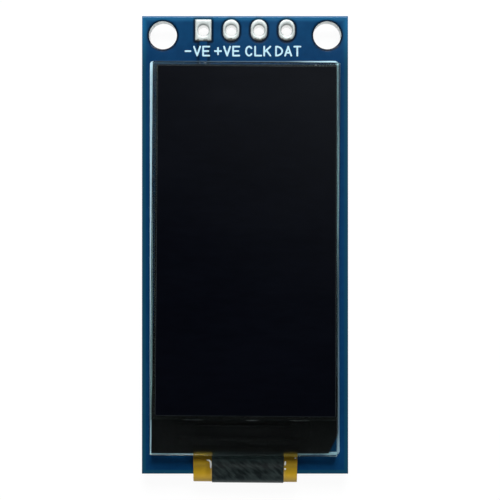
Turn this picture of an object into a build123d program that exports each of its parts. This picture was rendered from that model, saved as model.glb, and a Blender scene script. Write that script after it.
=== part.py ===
from build123d import *
import math
import os

# Portrait OLED display module: a glass panel taped to a narrow circuit board, its flexible tail
# folded round the board's lower edge and soldered behind, among the parts that drive the panel.
# Millimetres. X runs across the board, Y up towards the header pads, Z out of the screen.

# Glass panel
glass_width = 16.9
glass_length = 35.5
glass_thickness = 0.7
cap_thickness = 0.5
cap_ledge = 3.15
cap_rim = 0.9
cap_recess = 0.3
polariser_thickness = 0.2
polariser_inset_left = 0.45
polariser_inset_right = 0.22
polariser_inset_top = 0.38
polariser_ledge = 3.5
pixel_side_margin = 1.1
pixel_end_margin = 1.46
pixel_film = 0.02
desiccant_thickness = 0.15
desiccant_margin = 0.6
panel_skew = -0.45

# Driver die bonded behind the glass ledge
die_length = 8.6
die_width = 0.9
die_thickness = 0.3
die_from_cap = 0.55

# Black tape draped over the die, between the rear glass and the tail
shade_length = 11.9
shade_thickness = 0.05
shade_gap = 0.05
shade_slope = 0.3

# Double-sided tape between panel and board
tape_thickness = 0.15
tape_inset = 0.09
tape_inset_end = 0.08
tape_flare = 0.15
tape_offset = -0.035
tape_corner_width = 0.87
tape_corner_length = 1.75

# Circuit board, set by the panel and the margins left round it
side_margin = 0.95
header_margin = 4.4
tail_margin = 1.85
board_thickness = 1.2
fixing_hole_diameter = 2.55
fixing_hole_from_side = 1.9
fixing_hole_from_top = 1.75

# Plated header holes, the first with a square-cornered pad
pin_count = 4
pin_pitch = 2.54
pin_hole_diameter = 1.0
pin_pad_width = 1.5
pin_pad_length = 2.0
pin_from_top = 1.3
pad_thickness = 0.05
plating = 0.05

# Flexible tail and the black film on its outer side
flex_width = 9.45
flex_offset = 0.17
flex_thickness = 0.08
flex_bond = 0.8
flex_exit = 0.15
flex_back_run = 5.0
fold_straight = 0.1
fold_lift = 0.02
fold_gap = 0.15
film_width = 6.53
film_thickness = 0.08
film_offset = 0.235
film_gap = 0.05
film_back_run = 2.6

# Solder strips that join the tail to the back of the board
finger_count = 14
finger_pitch = 0.62
finger_width = 0.36
finger_on_flex = 0.8
finger_on_board = 0.7
finger_rise = 0.12
finger_crown = 0.4
finger_round = 0.15

# Chip capacitors and resistors
chip_length = 1.6
chip_width = 0.8
capacitor_height = 0.8
resistor_height = 0.45
chip_end_band = 0.34
chip_end_plating = 0.03
chip_end_chamfer = 0.05
chip_spacing = 1.6
land_overhang = 0.4
land_lip = 0.04
land_inside = 0.12
land_widening = 0.06
solder_thickness = 0.04
solder_climb = 0.6
solder_sag = 0.07

# Voltage regulator in a three-lead package
regulator_length = 2.9
regulator_width = 1.3
regulator_body_height = 1.0
regulator_standoff = 0.1
regulator_draft = 7
lead_pitch = 1.9
lead_width = 0.4
lead_thickness = 0.12
lead_embed = 0.3
lead_shoulder = 0.12
lead_slope = 0.2
lead_foot = 0.3
lead_bend = 0.09
lead_land_width = 0.7

# Rows of parts behind the board, measured from the board's top edge and from the end of the tail
upper_row_from_top = 8.8
lower_row_from_tail = 5.0
middle_row_rise = 3.5

# Heights, from the face the module lies on
regulator_height = regulator_body_height + regulator_standoff
board_back = max(regulator_height, capacitor_height + solder_thickness)
board_front = board_back + board_thickness
cap_back = board_front + tape_thickness
glass_back = cap_back + cap_thickness
glass_front = glass_back + glass_thickness

# Outline of the board and places on it, with Y measured from the board's centre
board_width = glass_width + 2 * side_margin
board_length = header_margin + glass_length + tail_margin
board_top = board_length / 2
board_bottom = -board_length / 2
glass_top = board_top - header_margin
glass_bottom = glass_top - glass_length
glass_middle = (glass_top + glass_bottom) / 2
cap_bottom = glass_bottom + cap_ledge
polariser_bottom = glass_bottom + polariser_ledge
fixing_x = board_width / 2 - fixing_hole_from_side
fixing_y = board_top - fixing_hole_from_top
pin_y = board_top - pin_from_top
pin_places = [(i - (pin_count - 1) / 2) * pin_pitch for i in range(pin_count)]
drill_radius = pin_hole_diameter / 2 + plating
tail_end = board_bottom + flex_back_run

# The tail's middle line: level behind the glass, an S down to the board, half a turn, level behind it
fold_radius = (board_thickness + fold_lift + flex_thickness) / 2
fold_y = board_bottom - fold_gap
fold_z = board_back + (board_thickness + fold_lift) / 2
tail_front_z = fold_z + fold_radius
tail_back_z = fold_z - fold_radius
tail_ledge_z = glass_back - flex_thickness / 2
slope_start = glass_bottom - flex_exit
slope_end = fold_y + fold_straight
slope_run = slope_start - slope_end
slope_drop = tail_ledge_z - tail_front_z
slope_angle = 2 * math.degrees(math.atan2(slope_drop, slope_run))
slope_radius = slope_run / (2 * math.sin(math.radians(slope_angle)))

BASE = (Align.CENTER, Align.CENTER, Align.MIN)


def slab(width, length, thickness, x=0.0, y=0.0, z=0.0):
    """Rectangular plate with its lower face at height z."""
    return Pos(x, y, z) * Box(width, length, thickness, align=BASE)


def printed_circuit_board():
    """The laminate, with two fixing holes and the drilled header holes."""
    outline = Rectangle(board_width, board_length)
    for x in (-fixing_x, fixing_x):
        outline -= Pos(x, fixing_y) * Circle(fixing_hole_diameter / 2)
    for x in pin_places:
        outline -= Pos(x, pin_y) * Circle(drill_radius)
    return Pos(0, 0, board_back) * extrude(outline, board_thickness)


def pin_pad(index):
    """Plated header hole: a pad on each face of the board, joined by a barrel through it."""
    if index == 0:
        outline = Rectangle(pin_pad_width, pin_pad_length)
    else:
        outline = SlotOverall(pin_pad_length, pin_pad_width, rotation=90)
    pad = extrude(outline, pad_thickness)
    barrel = extrude(Circle(drill_radius), board_thickness)
    whole = Pos(0, 0, board_front) * pad + Pos(0, 0, board_back) * barrel
    whole += Pos(0, 0, board_back - pad_thickness) * pad
    bore = extrude(Circle(pin_hole_diameter / 2), board_thickness + 2 * pad_thickness)
    whole -= Pos(0, 0, board_back - pad_thickness) * bore
    return Pos(pin_places[index], pin_y) * whole


def mounting_tape():
    """Black double-sided tape under the panel, wider towards the tail, with one slanting corner."""
    top = glass_top - tape_inset_end
    bottom = glass_bottom + tape_inset_end
    half_top = glass_width / 2 - tape_inset
    half_bottom = half_top + tape_flare
    corner = half_bottom - tape_flare * tape_corner_length / (top - bottom)
    outline = Polyline(
        (-half_bottom, bottom),
        (half_bottom - tape_corner_width, bottom),
        (corner, bottom + tape_corner_length),
        (half_top, top),
        (-half_top, top),
        close=True,
    )
    return Pos(tape_offset, 0, board_front) * extrude(make_face(outline), tape_thickness)


def cap_glass():
    """Rear glass that seals the pixels, hollowed on the inside to leave a raised rim."""
    length = glass_top - cap_bottom
    middle = (glass_top + cap_bottom) / 2
    plate = slab(glass_width, length, cap_thickness, 0, middle, cap_back)
    hollow_width = glass_width - 2 * cap_rim
    hollow_length = length - 2 * cap_rim
    return plate - slab(hollow_width, hollow_length, cap_recess, 0, middle, glass_back - cap_recess)


def desiccant_sheet():
    """Drying sheet stuck to the floor of the rear glass's hollow."""
    inset = cap_rim + desiccant_margin
    width = glass_width - 2 * inset
    length = glass_top - cap_bottom - 2 * inset
    middle = (glass_top + cap_bottom) / 2
    return slab(width, length, desiccant_thickness, 0, middle, glass_back - cap_recess)


def pixel_matrix():
    """Light-emitting film on the inner face of the front glass."""
    width = glass_width - 2 * pixel_side_margin
    length = glass_top - cap_bottom - 2 * pixel_end_margin
    middle = (glass_top + cap_bottom) / 2
    return slab(width, length, pixel_film, 0, middle, glass_back - pixel_film)


def display_glass():
    """Front glass, which reaches past the rear glass to form the bonding ledge."""
    return slab(glass_width, glass_length, glass_thickness, 0, glass_middle, glass_back)


def polariser_film():
    """Dark polarising film on the front glass, set back unevenly from its edges."""
    left = -glass_width / 2 + polariser_inset_left
    right = glass_width / 2 - polariser_inset_right
    top = glass_top - polariser_inset_top
    width = right - left
    length = top - polariser_bottom
    middle = (top + polariser_bottom) / 2
    return slab(width, length, polariser_thickness, (left + right) / 2, middle, glass_front)


def driver_chip():
    """Bare driver die bonded to the back of the ledge."""
    y = cap_bottom - die_from_cap - die_width / 2
    return slab(die_length, die_width, die_thickness, 0, y, glass_back - die_thickness)


def shade_tape():
    """Black tape stuck behind the ledge, stepping down over the die and up again on its far side."""
    die_top = cap_bottom - die_from_cap
    die_back = glass_back - die_thickness
    over_die = (die_top + shade_gap, die_top - die_width - shade_gap)
    face = [
        (cap_bottom - shade_gap, glass_back),
        (over_die[0] + shade_slope, glass_back),
        (over_die[0], die_back),
        (over_die[1], die_back),
        (over_die[1] - shade_slope, glass_back),
        (glass_bottom + flex_bond + shade_gap, glass_back),
    ]
    rear = [(y, z - shade_thickness) for y, z in reversed(face)]
    profile = make_face(Polyline(*face, *rear, close=True))
    return extrude(Plane.YZ * profile, shade_length / 2, both=True)


def tail_line(offset, start, end):
    """Edges of the tail's side outline, at a distance outside its middle line, from start to end."""
    ledge = tail_ledge_z + offset
    front = tail_front_z + offset
    back = tail_back_z - offset
    upper_centre = (slope_start, tail_ledge_z - slope_radius)
    lower_centre = (slope_end, tail_front_z + slope_radius)
    return [
        Line((start, ledge), (slope_start, ledge)),
        CenterArc(upper_centre, slope_radius + offset, 90, slope_angle),
        CenterArc(lower_centre, slope_radius - offset, 270 + slope_angle, -slope_angle),
        Line((slope_end, front), (fold_y, front)),
        CenterArc((fold_y, fold_z), fold_radius + offset, 90, 180),
        Line((fold_y, back), (end, back)),
    ]


def folded_sheet(inner, outer, start, end, width):
    """Sheet that follows the tail between two distances from its middle line."""
    inner_edges = tail_line(inner, start, end)
    outer_edges = tail_line(outer, start, end)
    closing = [
        Line(inner_edges[0] @ 0, outer_edges[0] @ 0),
        Line(inner_edges[-1] @ 1, outer_edges[-1] @ 1),
    ]
    profile = make_face(inner_edges + outer_edges + closing)
    return extrude(Plane.YZ * profile, width / 2, both=True)


def flex_tail():
    """Amber flexible tail, from its bond behind the ledge to its end behind the board."""
    half = flex_thickness / 2
    tail = folded_sheet(-half, half, glass_bottom + flex_bond, tail_end, flex_width)
    return Pos(flex_offset, 0, 0) * tail


def flex_cover_film():
    """Black film along the outer side of the tail."""
    half = flex_thickness / 2
    start = glass_bottom - film_gap
    end = board_bottom + film_back_run
    film = folded_sheet(half, half + film_thickness, start, end, film_width)
    return Pos(flex_offset + film_offset, 0, 0) * film


def flex_solder_joints():
    """Row of solder strips that step from the end of the tail down to the board."""
    tail_face = board_back - flex_thickness
    crown = tail_face - finger_rise
    outline = Polyline(
        (tail_end - finger_on_flex, tail_face),
        (tail_end - finger_crown, crown),
        (tail_end, crown),
        (tail_end + finger_on_board, board_back),
        (tail_end, board_back),
        (tail_end, tail_face),
        close=True,
    )
    profile = make_face(outline)
    profile = fillet(profile.vertices().sort_by(Axis.Y)[:2], finger_round)
    strip = extrude(Plane.YZ * profile, finger_width / 2, both=True)
    first = flex_offset - (finger_count - 1) / 2 * finger_pitch
    return Compound([Pos(first + i * finger_pitch, 0, 0) * strip for i in range(finger_count)])


def chip_body(height):
    """Ceramic block of a chip part, standing on its lands at height zero and up."""
    length = chip_length - 2 * chip_end_plating
    width = chip_width - 2 * chip_end_plating
    inner_height = height - 2 * chip_end_plating
    return slab(length, width, inner_height, z=solder_thickness + chip_end_plating)


def chip_ends(height):
    """Two tinned end caps that wrap the ceramic block."""
    body = chip_body(height)
    caps = []
    for side in (-1, 1):
        x = side * (chip_length - chip_end_band) / 2
        block = slab(chip_end_band, chip_width, height, x, z=solder_thickness)
        caps.append(chamfer(block.edges(), chip_end_chamfer) - body)
    return Compound(caps)


def solder_joint(inner, wall, overhang, climb, width):
    """Land under a part's end, with a hollow solder fillet up to height climb on its end wall."""
    outer = wall + overhang
    profile = make_face(
        [
            Polyline(
                (wall, climb),
                (wall, solder_thickness),
                (inner, solder_thickness),
                (inner, 0),
                (outer, 0),
                (outer, land_lip),
            ),
            SagittaArc((outer, land_lip), (wall, climb), -solder_sag),
        ]
    )
    return extrude(Plane.XZ * profile, width / 2, both=True)


def chip_joints(height):
    """Solder at both ends of a chip part."""
    inner = chip_length / 2 - chip_end_band - land_inside
    climb = solder_thickness + solder_climb * height
    width = chip_width + 2 * land_widening
    joint = solder_joint(inner, chip_length / 2, land_overhang, climb, width)
    return [joint, Rot(0, 0, 180) * joint]


def regulator_lead():
    """One bent lead pointing along +X, from inside the body out to its foot on the land."""
    middle = regulator_standoff + regulator_body_height / 2
    foot = solder_thickness + lead_thickness / 2
    wall = regulator_width / 2
    bend = wall + lead_shoulder
    toe = bend + lead_slope
    line = FilletPolyline(
        (wall - lead_embed, middle),
        (bend, middle),
        (toe, foot),
        (toe + lead_foot, foot),
        radius=lead_bend,
    )
    return extrude(Plane.XZ * trace(line, lead_thickness), lead_width / 2, both=True)


def regulator_lead_places():
    """Two leads on one long side of the package and one in the middle of the other."""
    half = lead_pitch / 2
    return [Rot(0, 0, 90), Pos(-half, 0, 0) * Rot(0, 0, -90), Pos(half, 0, 0) * Rot(0, 0, -90)]


def regulator_leads():
    lead = regulator_lead()
    return Compound([place * lead for place in regulator_lead_places()])


def regulator_body():
    """Moulded body, drafted both ways from the plane of its leads."""
    outline = Rectangle(regulator_length, regulator_width)
    half = regulator_body_height / 2
    upper = extrude(outline, half, taper=regulator_draft)
    body = upper + Rot(180, 0, 0) * upper
    body = Pos(0, 0, regulator_standoff + half) * body
    for lead in regulator_leads().solids():
        body -= lead
    return body


def regulator_joints():
    """Solder under and in front of each lead's foot."""
    toe = regulator_width / 2 + lead_shoulder + lead_slope + lead_foot
    climb = solder_thickness + lead_thickness
    joint = solder_joint(toe - lead_foot, toe, land_overhang, climb, lead_land_width)
    return [place * joint for place in regulator_lead_places()]


def behind_board(x, y, turn=0.0):
    """Place of a part on the back of the board, turned about its own upright axis."""
    return Pos(x, y, board_back) * Rot(180, 0, 0) * Rot(0, 0, turn)


# Where each chip part stands: name, height, X and Y. All stand with their length along Y.
chip_step = chip_width + chip_spacing
upper_row = board_top - upper_row_from_top
lower_row = tail_end + lower_row_from_tail
middle_row = lower_row + middle_row_rise
regulator_x = -1.5 * chip_step
regulator_side = regulator_length / 2 + chip_spacing / 2 + chip_width / 2
chips = [
    ("input_capacitor", capacitor_height, regulator_x - regulator_side, upper_row),
    ("output_capacitor", capacitor_height, regulator_x + regulator_side, upper_row),
    ("clock_resistor", resistor_height, 0.75 * chip_step, upper_row),
    ("data_resistor", resistor_height, 1.75 * chip_step, upper_row),
    ("address_resistor", resistor_height, 2.75 * chip_step, upper_row),
    ("pump_capacitor_one", capacitor_height, -2.5 * chip_step, lower_row),
    ("pump_capacitor_two", capacitor_height, -1.5 * chip_step, lower_row),
    ("logic_capacitor", capacitor_height, -0.5 * chip_step, lower_row),
    ("panel_capacitor", capacitor_height, 0.5 * chip_step, lower_row),
    ("common_capacitor", capacitor_height, 1.5 * chip_step, lower_row),
    ("current_resistor", resistor_height, 2.5 * chip_step, lower_row),
    ("reset_capacitor", capacitor_height, -1.0 * chip_step, middle_row),
    ("reset_resistor", resistor_height, 1.0 * chip_step, middle_row),
]

parts = {"printed_circuit_board": printed_circuit_board(), "mounting_tape": mounting_tape()}
for index in range(pin_count):
    parts[f"pin_pad_{index + 1}"] = pin_pad(index)

# The panel and its tail sit a fraction of a degree off square, as they were glued
squareness = Pos(0, glass_middle, 0) * Rot(0, 0, panel_skew) * Pos(0, -glass_middle, 0)
panel = {
    "cap_glass": cap_glass(),
    "desiccant_sheet": desiccant_sheet(),
    "pixel_matrix": pixel_matrix(),
    "display_glass": display_glass(),
    "polariser_film": polariser_film(),
    "driver_chip": driver_chip(),
    "shade_tape": shade_tape(),
    "flex_tail": flex_tail(),
    "flex_cover_film": flex_cover_film(),
    "flex_solder_joints": flex_solder_joints(),
}
for name, shape in panel.items():
    parts[name] = squareness * shape

regulator_place = behind_board(regulator_x, upper_row)
parts["regulator_body"] = regulator_place * regulator_body()
parts["regulator_leads"] = regulator_place * regulator_leads()
joints = [regulator_place * joint for joint in regulator_joints()]
for name, height, x, y in chips:
    place = behind_board(x, y, turn=90)
    parts[f"{name}_body"] = place * chip_body(height)
    parts[f"{name}_ends"] = place * chip_ends(height)
    joints += [place * joint for joint in chip_joints(height)]
parts["component_solder"] = Compound(joints)

# Origin in the middle of the footprint, on the face the module lies on
box = Compound(list(parts.values())).bounding_box()
to_origin = Pos(-box.center().X, -box.center().Y, -box.min.Z)

os.makedirs("parts", exist_ok=True)
for name, shape in parts.items():
    export_step(to_origin * shape, f"parts/{name}.step")
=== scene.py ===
import bpy
import numpy as np
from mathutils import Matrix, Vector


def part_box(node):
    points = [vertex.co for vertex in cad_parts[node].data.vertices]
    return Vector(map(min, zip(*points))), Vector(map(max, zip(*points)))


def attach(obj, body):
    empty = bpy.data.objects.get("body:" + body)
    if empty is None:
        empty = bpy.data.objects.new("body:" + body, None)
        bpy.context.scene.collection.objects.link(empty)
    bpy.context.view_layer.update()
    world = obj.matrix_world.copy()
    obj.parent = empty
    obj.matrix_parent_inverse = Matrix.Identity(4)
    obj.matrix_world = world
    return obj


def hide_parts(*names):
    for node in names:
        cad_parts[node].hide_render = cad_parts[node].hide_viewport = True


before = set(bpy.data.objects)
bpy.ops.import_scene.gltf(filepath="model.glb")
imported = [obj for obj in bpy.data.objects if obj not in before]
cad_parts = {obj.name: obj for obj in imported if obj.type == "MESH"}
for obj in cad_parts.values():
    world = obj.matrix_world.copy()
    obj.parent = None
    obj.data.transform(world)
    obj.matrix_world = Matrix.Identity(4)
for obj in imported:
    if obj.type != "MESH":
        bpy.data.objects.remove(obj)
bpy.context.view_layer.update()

# A display module lying on its back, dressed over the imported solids. Lengths are millimetres until
# a mesh is made: x runs across, y towards the header holes, z out of the screen.
mm = 0.001
bodyName = "root"


def solidBox(node):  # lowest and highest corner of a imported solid
    low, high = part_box(node)
    return np.array(low) / mm, np.array(high) / mm


def smoothStep(low, high, value):  # 0 at low, 1 at high and beyond, an S between
    t = np.clip((value - low) / (high - low), 0, 1)
    return t * t * (3 - 2 * t)


def fade(low, high, value):  # 1 at low, 0 at high and beyond
    return 1 - smoothStep(low, high, value)


# Mesh helpers: a part is its points and its face groups, and a group is (corner indices, finish, flat)
def gridCells(rows, cols, wrapRows=False, wrapCols=False):
    # four-cornered cells between neighbouring rows and columns of a grid of points
    i, j = np.meshgrid(np.arange(rows - (not wrapRows)), np.arange(cols - (not wrapCols)), indexing="ij")
    nextI, nextJ = (i + 1) % rows, (j + 1) % cols
    corners = [i * cols + j, i * cols + nextJ, nextI * cols + nextJ, nextI * cols + j]
    return np.stack(corners, -1).reshape(-1, 4)


def loft(rings, finishes=(0, 0, 0), flatSides=False):
    # closed rings of points joined one after the other, with a flat face over the first and the last;
    # finishes are for the sides, the first face and the last
    layers, count, _ = rings.shape
    cells = [gridCells(layers, count, wrapCols=True), np.arange(count)[None, ::-1],
             np.arange((layers - 1) * count, layers * count)[None]]
    return rings.reshape(-1, 3), list(zip(cells, finishes, (flatSides, True, True)))


def joinParts(parts):
    starts = np.cumsum([0] + [len(points) for points, _ in parts])
    groups = [(cells + start, finish, flat) for start, (_, own) in zip(starts, parts)
              for cells, finish, flat in own]
    return np.concatenate([points for points, _ in parts]), groups


def newObject(name, data):
    made = bpy.data.objects.new(name, data)
    bpy.context.scene.collection.objects.link(made)
    return made


def putPiece(name, part, finishes, stands=(), values=None, uv=None):
    points, groups = part
    cells, indices, flat = zip(*groups)
    counts = [len(c) for c in cells]
    corners = np.concatenate([c.ravel() for c in cells]).astype(np.int32)
    sizes = np.repeat([c.shape[1] for c in cells], counts)
    mesh = bpy.data.meshes.new(name)
    mesh.vertices.add(len(points))
    mesh.vertices.foreach_set("co", (points * mm).astype(np.float32).ravel())
    mesh.loops.add(len(corners))
    mesh.loops.foreach_set("vertex_index", corners)
    mesh.polygons.add(len(sizes))
    mesh.polygons.foreach_set("loop_start", (np.cumsum(sizes) - sizes).astype(np.int32))
    mesh.polygons.foreach_set("material_index", np.repeat(indices, counts).astype(np.int32))
    mesh.polygons.foreach_set("use_smooth", ~np.repeat(flat, counts))
    for key, value in (values or {}).items():
        mesh.attributes.new(key, "FLOAT", "POINT").data.foreach_set("value", value.astype(np.float32))
    if uv is not None:
        mesh.uv_layers.new(name="along").data.foreach_set("uv", uv[corners].astype(np.float32).ravel())
    mesh.update(calc_edges=True)
    mesh.validate()
    piece = newObject(name, mesh)
    for own in finishes:
        mesh.materials.append(finish[own])
    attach(piece, bodyName)
    if stands:
        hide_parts(*stands)


def roundRects(halfX, halfY, radius, steps=6):
    # rounded rectangles, one per entry: four quarter circles joined by straight sides, anticlockwise
    sizes = np.broadcast_arrays(halfX, halfY, radius)
    halfX, halfY, radius = (np.atleast_1d(v)[:, None, None] for v in sizes)
    turn = (np.arange(4)[:, None] + np.linspace(0, 1, steps)) * np.pi / 2
    sideX, sideY = np.array([[1], [-1], [-1], [1]]), np.array([[1], [1], [-1], [-1]])
    x = sideX * (halfX - radius) + radius * np.cos(turn)
    y = sideY * (halfY - radius) + radius * np.sin(turn)
    return np.stack([x, y], -1).reshape(len(halfX), -1, 2)


def evenSteps(path, count, endpoint=True):  # a flat path sampled at even steps along its length
    along = np.concatenate([[0], np.cumsum(np.hypot(*np.diff(path, axis=0).T))])
    at = np.linspace(0, along[-1], count, endpoint=endpoint)
    return np.stack([np.interp(at, along, path[:, k]) for k in (0, 1)], -1)


def evenLoop(loop, count):
    return evenSteps(np.concatenate([loop, loop[:1]]), count, False)


def leftOf(steps):  # unit vectors to the left of a flat path's steps
    steps = steps / np.linalg.norm(steps, axis=1, keepdims=True)
    return np.stack([-steps[:, 1], steps[:, 0]], -1)


def atHeights(loops, z):  # flat loops, each raised to its own height
    return np.concatenate([loops, np.broadcast_to(z[:, None, None], loops.shape[:2] + (1,))], -1)


def blockRings(low, high, corner, edge, steps=4):
    # plan outline lofted upwards, drawn in along a quarter circle at both ends, with one more ring
    # past each quarter circle to keep the sides flat
    mid, half = (low + high) / 2, (high - low) / 2
    hold, leastCorner = 1.7 * edge, 0.15 * edge
    turn = np.linspace(0, np.pi / 2, steps)
    draw, rise = edge * (1 - np.sin(turn)), edge * (1 - np.cos(turn))
    inset = np.concatenate([draw, [0, 0], draw[::-1]])
    z = np.concatenate([low[2] + rise, [low[2] + hold, high[2] - hold], high[2] - rise[::-1]])
    loops = roundRects(half[0] - inset, half[1] - inset, np.maximum(corner - inset, leastCorner))
    return atHeights(loops + mid[:2], z)


def roundBlock(low, high, corner, edge, finishes=(0, 0, 0)):
    return loft(blockRings(low, high, corner, edge), finishes)


# Node helpers: an input takes a source socket or a fixed value
def feed(tree, node, inputs):
    for socket, source in inputs.items():
        if isinstance(source, bpy.types.NodeSocket):
            tree.links.new(source, node.inputs[socket])
        else:
            node.inputs[socket].default_value = source


def nodeIn(tree, kind, inputs=None, **settings):
    node = tree.nodes.new(kind)
    for key, value in settings.items():
        setattr(node, key, value)
    feed(tree, node, inputs or {})
    return node


def mathOf(tree, operation, first, second):
    return nodeIn(tree, "ShaderNodeMath", {0: first, 1: second}, operation=operation).outputs[0]


def mapRange(tree, value, ends, curve="LINEAR"):
    return nodeIn(tree, "ShaderNodeMapRange", {"Value": value, **ends}, interpolation_type=curve).outputs[0]


def cloudNoise(tree, place, scale, detail):
    inputs = {"Vector": place, "Scale": scale, "Detail": detail}
    return nodeIn(tree, "ShaderNodeTexNoise", inputs).outputs["Fac"]


def bumpOf(tree, height, depth):  # depth in millimetres
    dents = nodeIn(tree, "ShaderNodeBump", {"Height": height, "Strength": 1.0, "Distance": depth * mm})
    return dents.outputs["Normal"]


def mixTint(tree, factor, first, second):  # colour between two sources or fixed colours
    first, second = (s if isinstance(s, bpy.types.NodeSocket) else (*s, 1) for s in (first, second))
    return nodeIn(tree, "ShaderNodeMix", {0: factor, 6: first, 7: second}, data_type="RGBA").outputs[2]


def attributeOf(tree, name):
    return nodeIn(tree, "ShaderNodeAttribute", attribute_name=name).outputs["Fac"]


def tintBy(tree, name, first, second):  # first colour where the attribute is 0, second where it is 1
    return mixTint(tree, attributeOf(tree, name), first, second)


# Finishes
grainLook = {"fineDetail": 6.0, "cloudDetail": 3.0, "cloudScale": 0.17,
             "tint": {"From Min": 0.7, "From Max": 1.3}, "gloss": {"From Min": 0.3, "From Max": 0.7}}


def grainGroup():
    # two sizes of cloudy noise on the piece's own coordinates: a tint between two colours, a gloss
    # between two values and a height
    group = bpy.data.node_groups.new("surfaceGrain", "ShaderNodeTree")
    takes = {"Scale": ("Float", 2000.0), "Stretch": ("Vector", (1, 1, 1)), "Dark": ("Color", (0, 0, 0, 1)),
             "Pale": ("Color", (1, 1, 1, 1)), "Smooth": ("Float", 0.3), "Rough": ("Float", 0.5)}
    for name, (kind, value) in takes.items():
        socket = group.interface.new_socket(name, in_out="INPUT", socket_type="NodeSocket" + kind)
        socket.default_value = value
    for name, kind in (("Color", "Color"), ("Roughness", "Float"), ("Height", "Float")):
        group.interface.new_socket(name, in_out="OUTPUT", socket_type="NodeSocket" + kind)
    given = nodeIn(group, "NodeGroupInput").outputs
    place = nodeIn(group, "ShaderNodeTexCoord").outputs["Object"]
    factors = {0: place, 1: given["Stretch"]}
    spread = nodeIn(group, "ShaderNodeVectorMath", factors, operation="MULTIPLY").outputs[0]
    fine = cloudNoise(group, spread, given["Scale"], grainLook["fineDetail"])
    wide = mathOf(group, "MULTIPLY", given["Scale"], grainLook["cloudScale"])
    cloud = cloudNoise(group, spread, wide, grainLook["cloudDetail"])
    level = mapRange(group, mathOf(group, "ADD", fine, cloud), grainLook["tint"])
    glossEnds = {**grainLook["gloss"], "To Min": given["Smooth"], "To Max": given["Rough"]}
    gloss = mapRange(group, cloud, glossEnds)
    tint = mixTint(group, level, given["Dark"], given["Pale"])
    nodeIn(group, "NodeGroupOutput", {"Color": tint, "Roughness": gloss, "Height": fine})
    return group


surfaceGrain = grainGroup()


def grainFinish(name, dark, pale, scale, rough, bump=0, sockets=None, stretch=(1, 1, 1)):
    # a shader fed by the grain group: tint between dark and pale, roughness between two values, fine bumps
    material = bpy.data.materials.new(name)
    material.use_nodes = True
    tree = material.node_tree
    shader = tree.nodes["Principled BSDF"]
    given = {"Scale": scale, "Stretch": stretch, "Dark": (*dark, 1), "Pale": (*pale, 1),
             "Smooth": rough[0], "Rough": rough[1]}
    grain = nodeIn(tree, "ShaderNodeGroup", given, node_tree=surfaceGrain).outputs
    feed(tree, shader, {"Base Color": grain["Color"], "Roughness": grain["Roughness"], **(sockets or {})})
    if bump:
        feed(tree, shader, {"Normal": bumpOf(tree, grain["Height"], bump)})
    return material, tree, shader, grain


def paintedFinish(name, attribute, colour, *grainValues):  # an attribute turns the grain into one colour
    material, tree, shader, grain = grainFinish(name, *grainValues)
    feed(tree, shader, {"Base Color": tintBy(tree, attribute, grain["Color"], colour)})
    return material


# Plain finishes: dark and pale tint, grain per metre, least and most rough, bump depth, own sockets, stretch
plainFinishes = {
    "solderTin": ((0.62, 0.63, 0.64), (0.82, 0.83, 0.84), 2600, (0.22, 0.36), 0.005, {"Metallic": 1.0}),
    "sealGlass": ((0.87, 0.95, 0.92), (0.94, 0.99, 0.96), 1300, (0.02, 0.06), 0.001,
                  {"Transmission Weight": 0.985, "IOR": 1.5}),
    "chippedGlass": ((0.10, 0.12, 0.12), (0.62, 0.66, 0.64), 2400, (0.2, 0.4), 0.02),
    # glue coloured white as a painted highlight for the glints off the beads
    "glintWhiteGlue": ((0.84, 0.83, 0.78), (0.95, 0.95, 0.92), 3000, (0.2, 0.35), 0.004),
    "clearGlass": ((0.90, 0.97, 0.94), (0.95, 1.0, 0.98), 260, (0.015, 0.03), 0,
                   {"Transmission Weight": 1.0, "IOR": 1.5}),
    "screenFilm": ((0.0010, 0.0013, 0.0032), (0.0016, 0.0021, 0.0047), 700, (0.07, 0.12), 0.0008,
                   {"IOR": 1.5}, (1, 3, 1)),
    "filmEdge": ((0.010, 0.013, 0.015), (0.034, 0.040, 0.044), 1500, (0.5, 0.7), 0.004,
                 {"Specular IOR Level": 0.05}, (1, 0.3, 1)),
    "blackTape": ((0.0025, 0.0029, 0.0031), (0.0064, 0.0070, 0.0074), 2500, (0.5, 0.7), 0.01,
                  {"Specular IOR Level": 0.12}),
    "siliconDie": ((0.002, 0.0022, 0.0026), (0.005, 0.0054, 0.006), 1200, (0.3, 0.4), 0,
                   {"Specular IOR Level": 0.12}),
    "dryingSheet": ((0.40, 0.40, 0.37), (0.60, 0.59, 0.55), 1500, (0.8, 0.9), 0.01),
    "pixelFilm": ((0.10, 0.085, 0.08), (0.17, 0.15, 0.14), 900, (0.3, 0.45), 0.001),
    "capacitorClay": ((0.20, 0.115, 0.055), (0.34, 0.21, 0.11), 2600, (0.45, 0.6), 0.006),
    "resistorInk": ((0.008, 0.008, 0.009), (0.018, 0.018, 0.02), 2200, (0.25, 0.4), 0.006),
    "alumina": ((0.62, 0.61, 0.58), (0.80, 0.79, 0.76), 2800, (0.6, 0.75), 0.006),
    "mouldedBlack": ((0.011, 0.011, 0.012), (0.026, 0.026, 0.027), 3800, (0.5, 0.65), 0.012)}
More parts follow.
